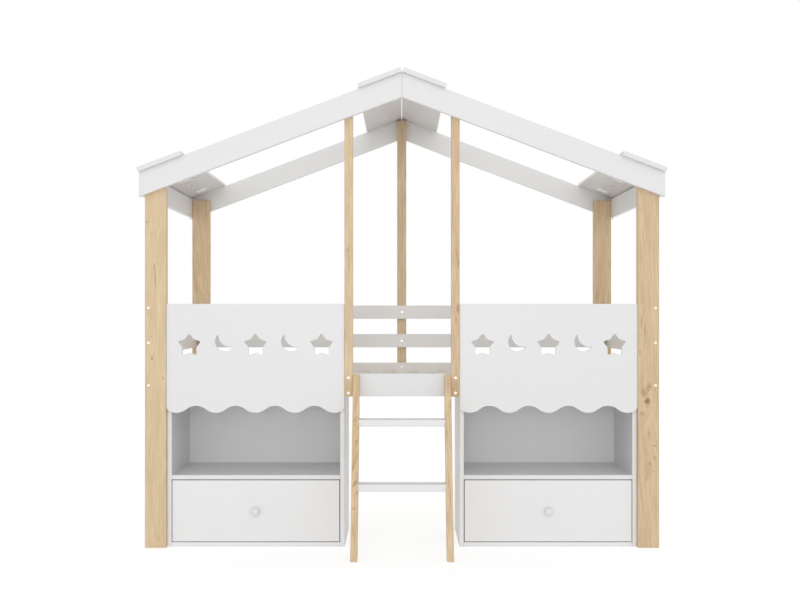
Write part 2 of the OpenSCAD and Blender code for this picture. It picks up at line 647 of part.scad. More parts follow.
// Star and crescent outlines, about their own centres
STAR = rounded([for (i = [0 : 9]) (i % 2 == 0 ? star_r : star_inner_r) * [sin(36 * i), cos(36 * i)]],
    star_tip_r, 3);
function crescent() =
    let (c = [moon_shift_x, moon_shift_z], d = norm(c), along = atan2(c.y, c.x),
         a = (d * d + moon_r * moon_r - moon_hollow_r * moon_hollow_r) / (2 * d),
         outer = acos(a / moon_r), inner = acos((d - a) / moon_hollow_r))
    concat(arc_points([0, 0], moon_r, along + outer, along + 360 - outer, 24),
        arc_points(c, moon_hollow_r, along + 180 + inner, along + 180 - inner, 16));

// Lower edge of a front panel: arcs that bulge down and up in turn, with rounded corners at both ends
panel_w = panel_out - panel_in;
scallops = round((panel_w - 2 * scallop_margin) / scallop_pitch) + 1;
scallop_step = (panel_w - 2 * scallop_margin) / (scallops - 1);
scallop_r = (pow(scallop_step / 4, 2) + pow(scallop_rise / 2, 2)) / scallop_rise;
scallop_a = asin(scallop_step / 4 / scallop_r);
corner_a = asin((scallop_margin - corner_r) / (scallop_r - corner_r));
corner_up = scallop_r - (scallop_r - corner_r) * cos(corner_a);
function scallop_edge() =
    let (last = scallops - 1, x0 = scallop_margin - panel_w / 2,
         low = [for (k = [0 : last]) [x0 + k * scallop_step, scallop_r]],
         high = [for (k = [0 : last - 1]) [x0 + (k + 0.5) * scallop_step, scallop_rise - scallop_r]],
         corner = [corner_r - panel_w / 2, corner_up])
    concat(
        arc_points(corner, corner_r, 180, 270 - corner_a, 6),
        [for (k = [0 : last]) each concat(
            arc_points(low[k], scallop_r, 270 - (k == 0 ? corner_a : scallop_a),
                270 + (k == last ? corner_a : scallop_a), 10),
            k == last ? [] : arc_points(high[k], scallop_r, 90 + scallop_a, 90 - scallop_a, 10))],
        arc_points([-corner.x, corner.y], corner_r, 270 + corner_a, 360, 6),
        [[panel_w / 2, corner_up]]);
module front_panel(side) {
    x0 = side * (panel_in + panel_out) / 2;
    h = panel_top_z - panel_low_z;
    stars = floor((panel_w - 3 * star_r) / star_pitch) + 1;
    outline = concat(scallop_edge(), [[panel_w / 2, h], [-panel_w / 2, h]]);
    lo = [x0 - panel_w / 2, rail_y - panel_t, panel_low_z];
    in_place() color(WHITE)
        drilled(lo, lo + [panel_w, panel_t, h], panel_bolts) difference() {
            translate([x0, 0, panel_low_z]) plate_xz(outline, rail_y - panel_t, rail_y);
            for (k = [0 : stars - 1]) {
                x = x0 + (k - (stars - 1) / 2) * star_pitch;
                translate([x, 0, star_z]) plate_xz(STAR, -cut, rail_y + cut);
                if (k < stars - 1)
                    translate([x + moon_offset, 0, star_z + moon_rise])
                        plate_xz(crescent(), -cut, rail_y + cut);
            }
        }
}
module front_panel_left() front_panel(LEFT);
module front_panel_right() front_panel(RIGHT);

// Roof
module rafter(side, y0) {
    pts = [[0, ridge_z], [eave_x, roof_z(eave_x)], [eave_x, rafter_low_z(eave_x)], [0, rafter_low_z(0)]];
    lo = side == LEFT ? [-eave_x, y0, 0] : [0, y0, 0];
    in_place() color(WHITE) difference() {
        drilled(lo, lo + [eave_x, rafter_t, ridge_z], concat(front_rafter_screws, rear_rafter_screws))
            sided(side) plate_xz(pts, y0, y0 + rafter_t);
        on_slope(side) for (f = roof_screws_slope)
            if (overlaps(f[0].y, f[0].y, y0, y0 + rafter_t, 0)) hole(f);
    }
}
module rafter_front_left() rafter(LEFT, -rafter_t);
module rafter_front_right() rafter(RIGHT, -rafter_t);
module rafter_rear_left() rafter(LEFT, depth);
module rafter_rear_right() rafter(RIGHT, depth);

module roof_board(s0, s1) board_y([s0, roof_y0, 0], [s1, roof_y1, roof_board_t], roof_screws_slope);
module ridge_board(side)
    in_place() color(WHITE) on_slope(side) roof_board(ridge_s, ridge_s + ridge_board_w);
module ridge_board_left() ridge_board(LEFT);
module ridge_board_right() ridge_board(RIGHT);
// Stars and moons in turn along the middle of an eave board, the stars' tips towards the ridge
eave_motifs_half = floor((depth / 2 - star_r) / roof_motif_pitch);
module eave_motifs() {
    for (k = [-eave_motifs_half : eave_motifs_half])
        translate([eave_s - eave_board_w / 2, depth / 2 + k * roof_motif_pitch, -cut])
            linear_extrude(roof_board_t + 2 * cut) rotate(90) polygon(k % 2 == 0 ? STAR : crescent());
}
module eave_board(side)
    in_place() color(WHITE) on_slope(side) difference() {
        roof_board(eave_s - eave_board_w, eave_s);
        eave_motifs();
    }
module eave_board_left() eave_board(LEFT);
module eave_board_right() eave_board(RIGHT);
// Square-edged fascia. Its outer top corner comes up to the eave board, so a wedge stays open inside.
module eave_fascia(side) {
    lo = [side == LEFT ? -eave_x : half_l, 0, fascia_z];
    in_place() color(WHITE) board_y(lo, lo + [fascia_t, depth, fascia_h], fascia_screws);
}
module eave_fascia_left() eave_fascia(LEFT);
module eave_fascia_right() eave_fascia(RIGHT);

// Ladder
module stringer(side) {
    meet_z = (rail_y - foot_y - stringer_h) / tan(ladder_lean);
    pts = [[foot_y, 0], [foot_y + stringer_h, 0], [rail_y, meet_z], [rail_y, ladder_top], [0, ladder_top]];
    lo = [side == LEFT ? -stringer_out : stringer_in, foot_y, 0];
    in_place() color(WOOD)
        drilled(lo, [lo.x + stringer_t, rail_y, ladder_top], concat(ladder_screws, tread_screws))
            plate_yz(pts, lo.x, lo.x + stringer_t);
}
module ladder_stringer_left() stringer(LEFT);
module ladder_stringer_right() stringer(RIGHT);
module ladder_treads()
    in_place() color(WHITE) for (z = tread_tops) {
        y = ladder_y(z - tread_t / 2);
        board_x([-stringer_in, y - tread_w / 2, z - tread_t], [stringer_in, y + tread_w / 2, z],
            tread_screws);
    }

// Cabinets: two sides with the other boards between them, and a thin back over all
module cab_board(side, z0)
    in_place() color(WHITE) sided(side)
        board_x([cab_in0, cab_y0, z0], [cab_in1, cab_back_y, z0 + cab_t],
            concat(carcass_screws, cab_rail_screws));
module cab_sides(side)
    in_place() color(WHITE) sided(side) for (x = [cab_x0, cab_in1])
        board_z([x, cab_y0, 0], [x + cab_t, cab_back_y, rail_z], concat(carcass_screws, runner_screws));
module cab_back(side)
    in_place() color(WHITE) sided(side) block([cab_x0, cab_back_y, 0], [cab_x1, cab_y1, rail_z]);
module cabinet_left_sides() cab_sides(LEFT);
module cabinet_left_top() cab_board(LEFT, cab_top_z);
module cabinet_left_shelf() cab_board(LEFT, shelf_z);
module cabinet_left_bottom() cab_board(LEFT, 0);
module cabinet_left_back() cab_back(LEFT);
module cabinet_right_sides() cab_sides(RIGHT);
module cabinet_right_top() cab_board(RIGHT, cab_top_z);
module cabinet_right_shelf() cab_board(RIGHT, shelf_z);
module cabinet_right_bottom() cab_board(RIGHT, 0);
module cabinet_right_back() cab_back(RIGHT);
module drawer_runners()
    in_place() color(PALE_WOOD) for (s = [LEFT, RIGHT]) sided(s) {
        y0 = groove_y0 + run_gap;
        z1 = runner_z + runner_h;
        board_y([cab_in0, y0, runner_z], [runner_x0, box_y1, z1], runner_screws);
        board_y([runner_x1, y0, runner_z], [cab_in1, box_y1, z1], runner_screws);
    }

// Drawers. The sides' grooves ride on the runners, and the bottom lies in grooves of its own.
module bottom_slot()
    block([box_x0 + drawer_side_t - bottom_groove, box_y0 - bottom_groove, bottom_z - sheet_gap],
        [box_x1 - drawer_side_t + bottom_groove, box_y1 + cut, bottom_z + drawer_bottom_t + sheet_gap]);
module dowel_holes()
    for (p = drawer_dowels)
        translate([p.x, box_y0 - dowel_in_front - hole_rest, p.y]) rotate([-90, 0, 0])
            cylinder(r = dowel_d / 2 + hole_gap, h = dowel_l + 2 * hole_rest);
module drawer_front(side)
    in_place() color(WHITE) sided(side) difference() {
        lo = [front_x0, cab_y0, front_z0];
        hi = [front_x1, box_y0, front_z1];
        drilled(lo, hi, drawer_screws) block(lo, hi);
        bottom_slot();
        dowel_holes();
    }
module drawer_side(x0, groove_x)
    difference() {
        board_y([x0, box_y0, box_z0], [x0 + drawer_side_t, box_y1, box_z1], drawer_screws);
        block([groove_x, groove_y0, runner_z - 3 * run_gap],
            [groove_x + runner_bite + 2 * run_gap + cut, box_y1 + cut, runner_z + runner_h + run_gap]);
        bottom_slot();
        dowel_holes();
    }
module drawer_box(side)
    in_place() color(WHITE) sided(side) {
        drawer_side(box_x0, box_x0 - cut);
        drawer_side(box_x1 - drawer_side_t, box_x1 - runner_bite - 2 * run_gap);
        board_x([box_x0 + drawer_side_t + glue_gap, box_y1 - drawer_side_t,
                bottom_z + drawer_bottom_t + sheet_gap],
            [box_x1 - drawer_side_t - glue_gap, box_y1, box_z1], drawer_screws);
    }
module drawer_bottom(side)
    in_place() color(PLY) sided(side)
        block([box_x0 + drawer_side_t - bottom_groove + 2 * sheet_gap,
                box_y0 - bottom_groove + 2 * sheet_gap, bottom_z],
            [box_x1 - drawer_side_t + bottom_groove - 2 * sheet_gap, box_y1, bottom_z + drawer_bottom_t]);
// A turned knob: a flared foot, a neck and a rounded head
module knob_turning() {
    foot_r = knob_foot_d / 2;
    neck_r = knob_neck_d / 2;
    flare = foot_r - neck_r;
    flat_r = knob_d / 2 - knob_rim_r;
    rim_z = knob_l - knob_crown - knob_rim_r;
    crown_r = (flat_r * flat_r + knob_crown * knob_crown) / (2 * knob_crown);
    rotate_extrude() polygon(concat(
        [[0, 0], [foot_r, 0]],
        arc_points([foot_r, flare], flare, 270, 180, 5),
        [[neck_r, flare], [neck_r, max(flare + 0.3, rim_z - knob_rim_r - knob_slope)]],
        arc_points([flat_r, rim_z], knob_rim_r, -70, 90, 10),
        arc_points([0, knob_l - crown_r], crown_r, 90 - asin(flat_r / crown_r), 90, 4),
        [[0, knob_l]]));
}
module drawer_knob(side)
    in_place() color(WHITE) sided(side) difference() {
        translate([cab_mid, cab_y0, knob_z]) rotate([90, 0, 0]) knob_turning();
        hole(drawer_screws[len(drawer_screws) - 1]);
    }
module drawer_fixings(side)
    in_place() sided(side) {
        color(STEEL) fasteners(drawer_screws);
        color(WOOD) for (p = drawer_dowels)
            translate([p.x, box_y0 - dowel_in_front, p.y]) rotate([-90, 0, 0])
                cylinder(r = dowel_d / 2, h = dowel_l);
    }
module drawer_left_front() drawer_front(LEFT);
module drawer_left_box() drawer_box(LEFT);
module drawer_left_bottom() drawer_bottom(LEFT);
module drawer_left_knob() drawer_knob(LEFT);
module drawer_left_fixings() drawer_fixings(LEFT);
module drawer_right_front() drawer_front(RIGHT);
module drawer_right_box() drawer_box(RIGHT);
module drawer_right_bottom() drawer_bottom(RIGHT);
module drawer_right_knob() drawer_knob(RIGHT);
module drawer_right_fixings() drawer_fixings(RIGHT);

// Fasteners of the frame, grouped by where they are
module end_rail_bolts() in_place() color(STEEL) fasteners(end_bolts);
module barrel_nuts()
    in_place() color(STEEL) for (s = [LEFT, RIGHT], y = nut_ys, z = end_bolt_zs)
        sided(s) difference() {
            translate([bay_l / 2 + nut_sink, y, z]) rotate([0, 90, 0]) cylinder(r = nut_d / 2, h = nut_l);
            translate([end_rail_x, y - nut_d, z]) rotate([-90, 0, 0])
                cylinder(r = bolt_d / 2 + hole_gap, h = 2 * nut_d);
        }
module front_bolts() in_place() color(STEEL) fasteners(front_bolts_list);
module joint_screws() in_place() color(STEEL) fasteners(concat(joint_screws_list, [rear_post_screw]));
module roof_screws()
    in_place() color(STEEL) {
        fasteners(concat(front_rafter_screws, rear_rafter_screws, fascia_screws));
        for (s = [LEFT, RIGHT]) on_slope(s) fasteners(roof_screws_slope);
    }
module slat_screws() in_place() color(STEEL) fasteners(slat_screws_list);
module cabinet_screws()
    in_place() color(STEEL) for (s = [LEFT, RIGHT]) sided(s) fasteners(cabinet_screws_side);

corner_post_front_left();
corner_post_front_right();
corner_post_rear_left();
corner_post_rear_right();
entry_post_left();
entry_post_right();
rear_center_post();
front_side_rail();
rear_side_rail();
left_end_rail();
right_end_rail();
rear_guard_rails();
left_guard_rails();
right_guard_rails();
front_guard_rails();
front_panel_left();
front_panel_right();
slat_ledgers();
bed_slats();
rafter_front_left();
rafter_front_right();
rafter_rear_left();
rafter_rear_right();
ridge_board_left();
ridge_board_right();
eave_board_left();
eave_board_right();
eave_fascia_left();
eave_fascia_right();
ladder_stringer_left();
ladder_stringer_right();
ladder_treads();
cabinet_left_sides();
cabinet_left_top();
cabinet_left_shelf();
cabinet_left_bottom();
cabinet_left_back();
cabinet_right_sides();
cabinet_right_top();
cabinet_right_shelf();
cabinet_right_bottom();
cabinet_right_back();
drawer_runners();
drawer_left_front();
drawer_left_box();
drawer_left_bottom();
drawer_left_knob();
drawer_left_fixings();
drawer_right_front();
drawer_right_box();
drawer_right_bottom();
drawer_right_knob();
drawer_right_fixings();
end_rail_bolts();
barrel_nuts();
front_bolts();
joint_screws();
roof_screws();
slat_screws();
cabinet_screws();
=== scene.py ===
"""Looks of the house bed: natural wood posts, white lacquered boards, soft white studio light."""
import math

import bpy
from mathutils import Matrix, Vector


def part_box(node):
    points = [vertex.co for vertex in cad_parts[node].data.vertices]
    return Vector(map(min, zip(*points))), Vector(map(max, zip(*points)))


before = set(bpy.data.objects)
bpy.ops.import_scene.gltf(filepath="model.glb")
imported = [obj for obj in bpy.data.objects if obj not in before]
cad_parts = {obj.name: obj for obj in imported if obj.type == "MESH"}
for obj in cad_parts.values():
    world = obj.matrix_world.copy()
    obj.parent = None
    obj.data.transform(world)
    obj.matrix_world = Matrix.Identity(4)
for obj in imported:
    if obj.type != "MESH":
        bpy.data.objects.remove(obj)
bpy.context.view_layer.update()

# Camera: level, straight in front, 4.3 m before the front posts
EYE = (-0.0063, -4.7061, 0.945)
LENS = 48.33
SENSOR = 36.0
SHIFT_X = -0.00054
SHIFT_Y = 0.0148

# Linear colours, taken from the photograph's lit faces
WOOD = (0.671, 0.514, 0.329)
PINE = (0.79, 0.71, 0.58)
PLY = (0.66, 0.54, 0.38)
LACQUER = (0.757, 0.757, 0.759)
STEEL = (0.93, 0.84, 0.72)
BRIGHT_STEEL = (0.84, 0.80, 0.79)
CAP = (0.84, 0.84, 0.84)
KNOT_HEART = (0.20, 0.10, 0.045)
KNOT_STAIN_AND_SHADE = (0.31, 0.16, 0.05)

# Noise patterns: size, as repeats per metre with the grain along Z, then detail and roughness
SWAY = ((3.0, 3.0, 3.4), 2.0, 0.5)
WOOD_CLOUD = ((24.0, 24.0, 4.0), 2.0, 0.5)
WOOD_STREAK = ((110.0, 110.0, 9.0), 3.0, 0.6)
WOOD_FIBRE = ((520.0, 520.0, 14.0), 2.0, 0.6)
WOOD_LINE = ((180.0, 180.0, 3.4), 2.0, 0.5)
KNOT_RIM = ((160.0, 160.0, 90.0), 2.0, 0.5)
COAT_CLOUD = ((3.0, 3.0, 1.0), 2.0, 0.5)
COAT_GRAIN = ((260.0, 260.0, 5.0), 3.0, 0.6)
COAT_PEEL = ((520.0, 520.0, 520.0), 2.0, 0.5)
STEEL_MOTTLE = ((420.0, 420.0, 420.0), 3.0, 0.6)

# Relief: radius of the eased edges in metres, then the bump's strength and depth
WOOD_RELIEF = (0.0015, 0.3, 0.0004)
COAT_RELIEF = (0.0013, 0.10, 0.0003)
STEEL_RELIEF = (0.0004, 0.12, 0.0001)
EDGE_SAMPLES = 4

# Gloss
WOOD_IOR = 1.45
WOOD_SPECULAR = 0.4
COAT_IOR = 1.5
COAT_SPECULAR = 0.35
PINE_ROUGH = 0.58
RUNNER_ROUGH = 0.5
PLY_ROUGH = 0.55
ZINC_ROUGH = 0.34
BRIGHT_ROUGH = 0.22

# How a board's number follows from where it is, and how far that number shifts the pattern in X, Y and Z
SEED_BY_PLACE = (3.1, 5.7, 1.3)
SEED_BY_BOARD = 1.37
SEED_TO_SHIFT = (1.0, 1.7, 2.3)

# The slats' pitch, and the heights of slats, ledgers, runners and drawer bottoms
SLAT_PITCH = 0.125
SLATS_Z = 0.64
LEDGERS_Z = 0.62
RUNNERS_Z = 0.12
BOTTOMS_Z = 0.045

# Wood: how far the grain sways in metres, how light and dark wood differ, each pattern's share of the tone,
# where the thin dark lines begin, and how much fibres change the sheen
SWAY_REACH = (0.034, 0.034, 0.0)
TONE_SPREAD = (0.13, 0.15, 0.19)
CLOUD_SHARE = 0.7
STREAK_SHARE = 1.1
FIBRE_SHARE = 0.5
DARK_END = 0.65
LINE_FROM = 0.56
LINE_SHARPNESS = 6.0
LINE_DEPTH = 1.5
LINE_TONE = (0.66, 0.57, 0.43)
FIBRE_SHEEN = 0.16

# Knots: darkness from the middle out to the rim, how ragged the rim is, how far off the grain still bends
# around one, and from what darkness it has a heart. A mark as wide as the board is a broad darker zone and
# bends no grain; on the entry posts it is painted shade by the stringer's head.
HALO = ((0.0, 1.0), (0.45, 0.8), (0.85, 0.25), (1.0, 0.0))
RIM_RAGGED = 0.8
BEND_REACH = 4.0
BEND = 0.9
HEART_FROM = 0.45
WIDE_MARK = 0.03

# Lacquer: how much clouds and grain show through, the sheen, how far a front face's normal points forward,
# and the closed mitre's half width in metres
CLOUD_SHOWS = 0.020
GRAIN_SHOWS = 0.012
COAT_SHADE = (0.92, 0.92, 0.90)
COAT_ROUGH = 0.34
CLOUD_SHEEN = 0.12
FRONT_FACING = -0.5
SEAM = 0.0009
SEAM_TONE = 0.72

# Steel: how much the mottle shows, how much smoother the heads on the rear rails are, and where along the bed
# the heads on the front panels lie
MOTTLE_SHOWS = 0.25
MOTTLE_TONE = 0.78
MOTTLE_SHEEN = 0.20
REAR_SHEEN = 0.08
PANELS_FROM = 0.3
PANELS_TO = 0.9

# Light: a white dome whose strength follows the direction, and two large soft lamps behind the camera
DOME = 0.43
LOBES = (((0, -1, 0), 0.85), ((0, 1, 0), 1.05), ((1, 0, 0), 0.10))
LAMPS = (((-0.3, -9.0, 1.25), 69.0), ((0.0, -7.0, 5.0), 18.0))
LAMP_TO = (0.0, 0.0, 0.9)
LAMP_SIZE = 2.4

# Floor: its size, how it reflects and glows for the light, and how it looks to the camera
FLOOR_SIZE = 60.0
FLOOR_WHITE = 0.82
FLOOR_GLOW = 0.13
SEEN_GLOW = 0.735
SEEN_SHADOW = 0.35

# Turns that lay a board's grain along Z
LADDER_LEAN = math.radians(19.6)
ALONG_X = (0.0, -math.pi / 2, 0.0)
ALONG_Y = (math.pi / 2, 0.0, 0.0)
ALONG_Z = (0.0, 0.0, 0.0)
ON_LADDER = (LADDER_LEAN, 0.0, 0.0)

# Each board of natural wood: its tone against the mean colour, how far its grain runs out sideways per metre,
# how strong its dark lines are, and how much its light and dark wood differ
BOARDS = {
    "corner_post_front_left": (1.0, 0.0, 0.2, 1.3),
    "corner_post_front_right": ((0.942, 0.921, 0.913), 0.04, 0.35, 1.5),
    "corner_post_rear_left": ((0.949, 0.931, 0.925), 0.10, 0.7, 1.6),
    "corner_post_rear_right": ((0.911, 0.883, 0.876), -0.07, 0.7, 1.6),
    "entry_post_left": ((0.966, 0.972, 0.969), 0.0, 0.2, 1.5),
    "entry_post_right": ((0.934, 0.909, 0.911), 0.0, 0.45, 1.9),
    "ladder_stringer_left": ((1.011, 0.981, 0.950), -0.12, 0.5, 1.8),
    "ladder_stringer_right": ((1.045, 1.034, 1.04), 0.0, 0.4, 1.5),
    "rear_center_post": ((0.911, 0.900, 0.887), 0.0, 0.5, 1.6),
}

# Knots and dark strokes as the photograph shows them, and on each entry post a broad patch of painted shade
# by the stringer's head: (place along the bed, height, half width, half length, darkness, slant)
KNOTS_AND_SHADE = {
    "corner_post_front_left": (
        (-1.0015, 0.759, 0.0045, 0.009, 0.85, 0.0), (-1.003, 0.847, 0.004, 0.007, 0.4, 0.0),
        (-0.956, 0.679, 0.004, 0.009, 0.7, 0.0), (-0.9881, 1.0845, 0.0026, 0.055, 0.7, -0.03),
        (-0.9921, 1.1285, 0.003, 0.02, 0.5, 0.2), (-1.023, 1.304, 0.005, 0.007, 0.5, 0.0),
        (-1.0029, 1.2607, 0.005, 0.012, 0.3, 0.0), (-0.9789, 1.1365, 0.003, 0.014, 0.3, 0.0),
        (-0.9749, 0.0395, 0.004, 0.02, 0.35, -0.3)),
    "corner_post_front_right": (
        (0.9689, 0.6241, 0.018, 0.03, 0.4, -0.1), (0.9869, 0.6441, 0.014, 0.026, 0.34, 0.2),
        (0.9629, 0.536, 0.014, 0.014, 0.25, 0.0), (0.9849, 0.3118, 0.02, 0.05, 0.22, 0.0),
        (0.9609, 0.6721, 0.008, 0.05, 0.22, 0.0), (0.9825, 0.5872, 0.015, 0.018, 0.86, 0.0),
        (0.9669, 0.6201, 0.01, 0.022, 0.3, -0.25), (0.9869, 0.6401, 0.009, 0.026, 0.27, 0.3),
        (0.9829, 0.566, 0.008, 0.01, 0.3, 0.0), (0.9569, 0.54, 0.008, 0.01, 0.3, 0.0),
        (1.0109, 0.4091, 0.011, 0.005, 0.5, 0.0), (1.0129, 0.3618, 0.006, 0.008, 0.45, 0.0),
        (0.9929, 0.3358, 0.006, 0.014, 0.4, -0.3), (1.0089, 0.3058, 0.008, 0.005, 0.45, 0.0),
        (0.9889, 0.4559, 0.006, 0.02, 0.35, 0.0), (0.9769, 0.2797, 0.006, 0.018, 0.35, 0.3),
        (0.9589, 0.9043, 0.005, 0.04, 0.4, 0.05), (0.9729, 0.8723, 0.004, 0.03, 0.35, 0.0),
        (0.9529, 0.7842, 0.006, 0.014, 0.4, 0.0)),
    "entry_post_left": (
        # The first mark, as wide as the post, is painted shade by the stringer's head.
        (-0.2145, 0.634, 0.05, 0.07, 0.14, 0.0), (-0.2162, 1.1926, 0.008, 0.012, 0.3, 0.0),
        (-0.2122, 1.1445, 0.003, 0.04, 0.25, 0.0)),
    "entry_post_right": (
        # The first mark, as wide as the post, is painted shade by the stringer's head.
        (0.2145, 0.634, 0.05, 0.07, 0.2, 0.0), (0.225, 1.1385, 0.005, 0.028, 0.5, 0.0),
        (0.2182, 1.1846, 0.004, 0.03, 0.3, -0.15), (0.217, 1.0685, 0.004, 0.035, 0.35, 0.15),
        (0.2238, 0.9584, 0.007, 0.026, 0.6, 0.0), (0.2182, 0.9163, 0.004, 0.02, 0.3, 0.3)),
    "ladder_stringer_left": (
        (-0.1852, 0.3651, 0.05, 0.26, 0.14, 0.0), (-0.1894, 0.5208, 0.0078, 0.007, 0.34, 0.0),
        (-0.1801, 0.5309, 0.0065, 0.014, 0.34, 0.2), (-0.1837, 0.5067, 0.0052, 0.009, 0.34, 0.0),
        (-0.1804, 0.4385, 0.0065, 0.01, 0.42, 0.2), (-0.1821, 0.3651, 0.0078, 0.04, 0.36, 0.28),
        (-0.1918, 0.3337, 0.0065, 0.014, 0.38, 0.2), (-0.1759, 0.3063, 0.0065, 0.022, 0.3, 0.1),
        (-0.182, 0.274, 0.0091, 0.018, 0.59, 0.5), (-0.1726, 0.2364, 0.0052, 0.012, 0.34, 0.2),
        (-0.1852, 0.1769, 0.0104, 0.007, 0.42, 0.4), (-0.1863, 0.0914, 0.0039, 0.03, 0.34, 0.0),
        (-0.1798, 0.0651, 0.0039, 0.03, 0.34, 0.0)),
    "ladder_stringer_right": (
        (0.1816, 0.6721, 0.05, 0.062, 0.34, 0.0), (0.1943, 0.5899, 0.012, 0.03, 0.3, 0.1),
        (0.1743, 0.4445, 0.003, 0.05, 0.3, 0.0), (0.1799, 0.2946, 0.003, 0.05, 0.3, -0.05),
        (0.1856, 0.2094, 0.003, 0.06, 0.3, 0.0), (0.1737, 0.133, 0.003, 0.04, 0.25, 0.0)),
}


class Tree:
    """Short calls for the nodes of one material or world."""

    def __init__(self, owner):
        self.owner = owner
        owner.use_nodes = True
        self.nodes = owner.node_tree.nodes
        self.links = owner.node_tree.links
        self.nodes.clear()

    def add(self, kind, sockets=None, **settings):
        """Adds a node; sockets are set to a value or linked to another node's output."""
        node = self.nodes.new("ShaderNode" + kind)
        for key, value in settings.items():
            setattr(node, key, value)
        for key, value in (sockets or {}).items():
            socket = node.inputs[key]
            if isinstance(value, bpy.types.NodeSocket):
                self.links.new(value, socket)
            else:
                socket.default_value = value
        return node

    def math(self, operation, a, b=0.0, clamp=False):
        return self.add("Math", {0: a, 1: b}, operation=operation, use_clamp=clamp).outputs[0]

    def vector(self, operation, a, b=(0, 0, 0)):
        node = self.add("VectorMath", {0: a, 1: b}, operation=operation)
        return node.outputs["Value" if operation in ("LENGTH", "DOT_PRODUCT") else "Vector"]

    def axis(self, vector, letter):
        return self.add("SeparateXYZ", {0: vector}).outputs[letter]

    def sideways(self, length):
        """A vector along X."""
        return self.add("CombineXYZ", {"X": length}).outputs["Vector"]

    def object_place(self):
        return self.add("TexCoord").outputs["Object"]

    def noise(self, place, size, detail, rough, output="Fac"):
        sockets = {"Vector": self.vector("MULTIPLY", place, size), "Scale": 1.0, "Detail": detail,
                   "Roughness": rough}
        return self.add("TexNoise", sockets).outputs[output]

    def ramp(self, fac, stops):
        """A ramp of greys; each stop is (place, grey)."""
        node = self.add("ValToRGB", {"Fac": fac})
        elements = node.color_ramp.elements
        while len(elements) < len(stops):
            elements.new(0.5)
        for element, (place, grey) in zip(elements, stops):
            element.position = place
            element.color = (grey, grey, grey, 1.0)
        return node.outputs["Color"]

    def mix(self, fac, a, b):
        """Mixes two colours, each a node's output or a plain linear colour."""
        sockets = {0: fac}
        for key, colour in ((6, a), (7, b)):
            sockets[key] = colour if isinstance(colour, bpy.types.NodeSocket) else (*colour, 1.0)
        return self.add("Mix", sockets, data_type="RGBA").outputs[2]

    def finish(self, shader, output="OutputMaterial"):
        self.add(output, {"Surface": shader.outputs[0]})
        return self.owner


def scaled(colour, by):
    """A colour times a number, or times one number for each channel."""
    by = by if isinstance(by, tuple) else (by,) * 3
    return tuple(c * b for c, b in zip(colour, by))


def grey(value):
    return (value, value, value, 1.0)


def eased_normal(tree, height, radius, strength, distance):
    """A normal that rounds the sharp edges and carries the surface's fine relief."""
    edge = tree.add("Bevel", {"Radius": radius}, samples=EDGE_SAMPLES)
    return tree.add("Bump", {"Strength": strength, "Distance": distance, "Height": height,
                             "Normal": edge.outputs["Normal"]}).outputs["Normal"]


def turned(tree, place, turn):
    """Coordinates with the grain along Z."""
    return tree.add("Mapping", {"Vector": place, "Rotation": turn}, vector_type="POINT").outputs["Vector"]


def grain_place(tree, turn, centre, pitch):
    """A board's own coordinates with the grain along Z, and a shift of its pattern that no other board has.

    With a pitch, the node is a row of equal boards along X, and each of them is one board here."""
    place = tree.vector("SUBTRACT", tree.object_place(), centre)
    seed = sum(c * by for c, by in zip(centre, SEED_BY_PLACE))
    if pitch:
        board = tree.math("FLOOR", tree.math("DIVIDE", tree.axis(place, "X"), pitch))
        middle = tree.math("MULTIPLY", tree.math("ADD", board, 0.5), pitch)
        place = tree.vector("SUBTRACT", place, tree.sideways(middle))
        seed = tree.math("MULTIPLY", board, SEED_BY_BOARD)
    shifts = {letter: tree.math("MULTIPLY", seed, by) for letter, by in zip("XYZ", SEED_TO_SHIFT)}
    return turned(tree, place, turn), tree.add("CombineXYZ", shifts).outputs["Vector"]


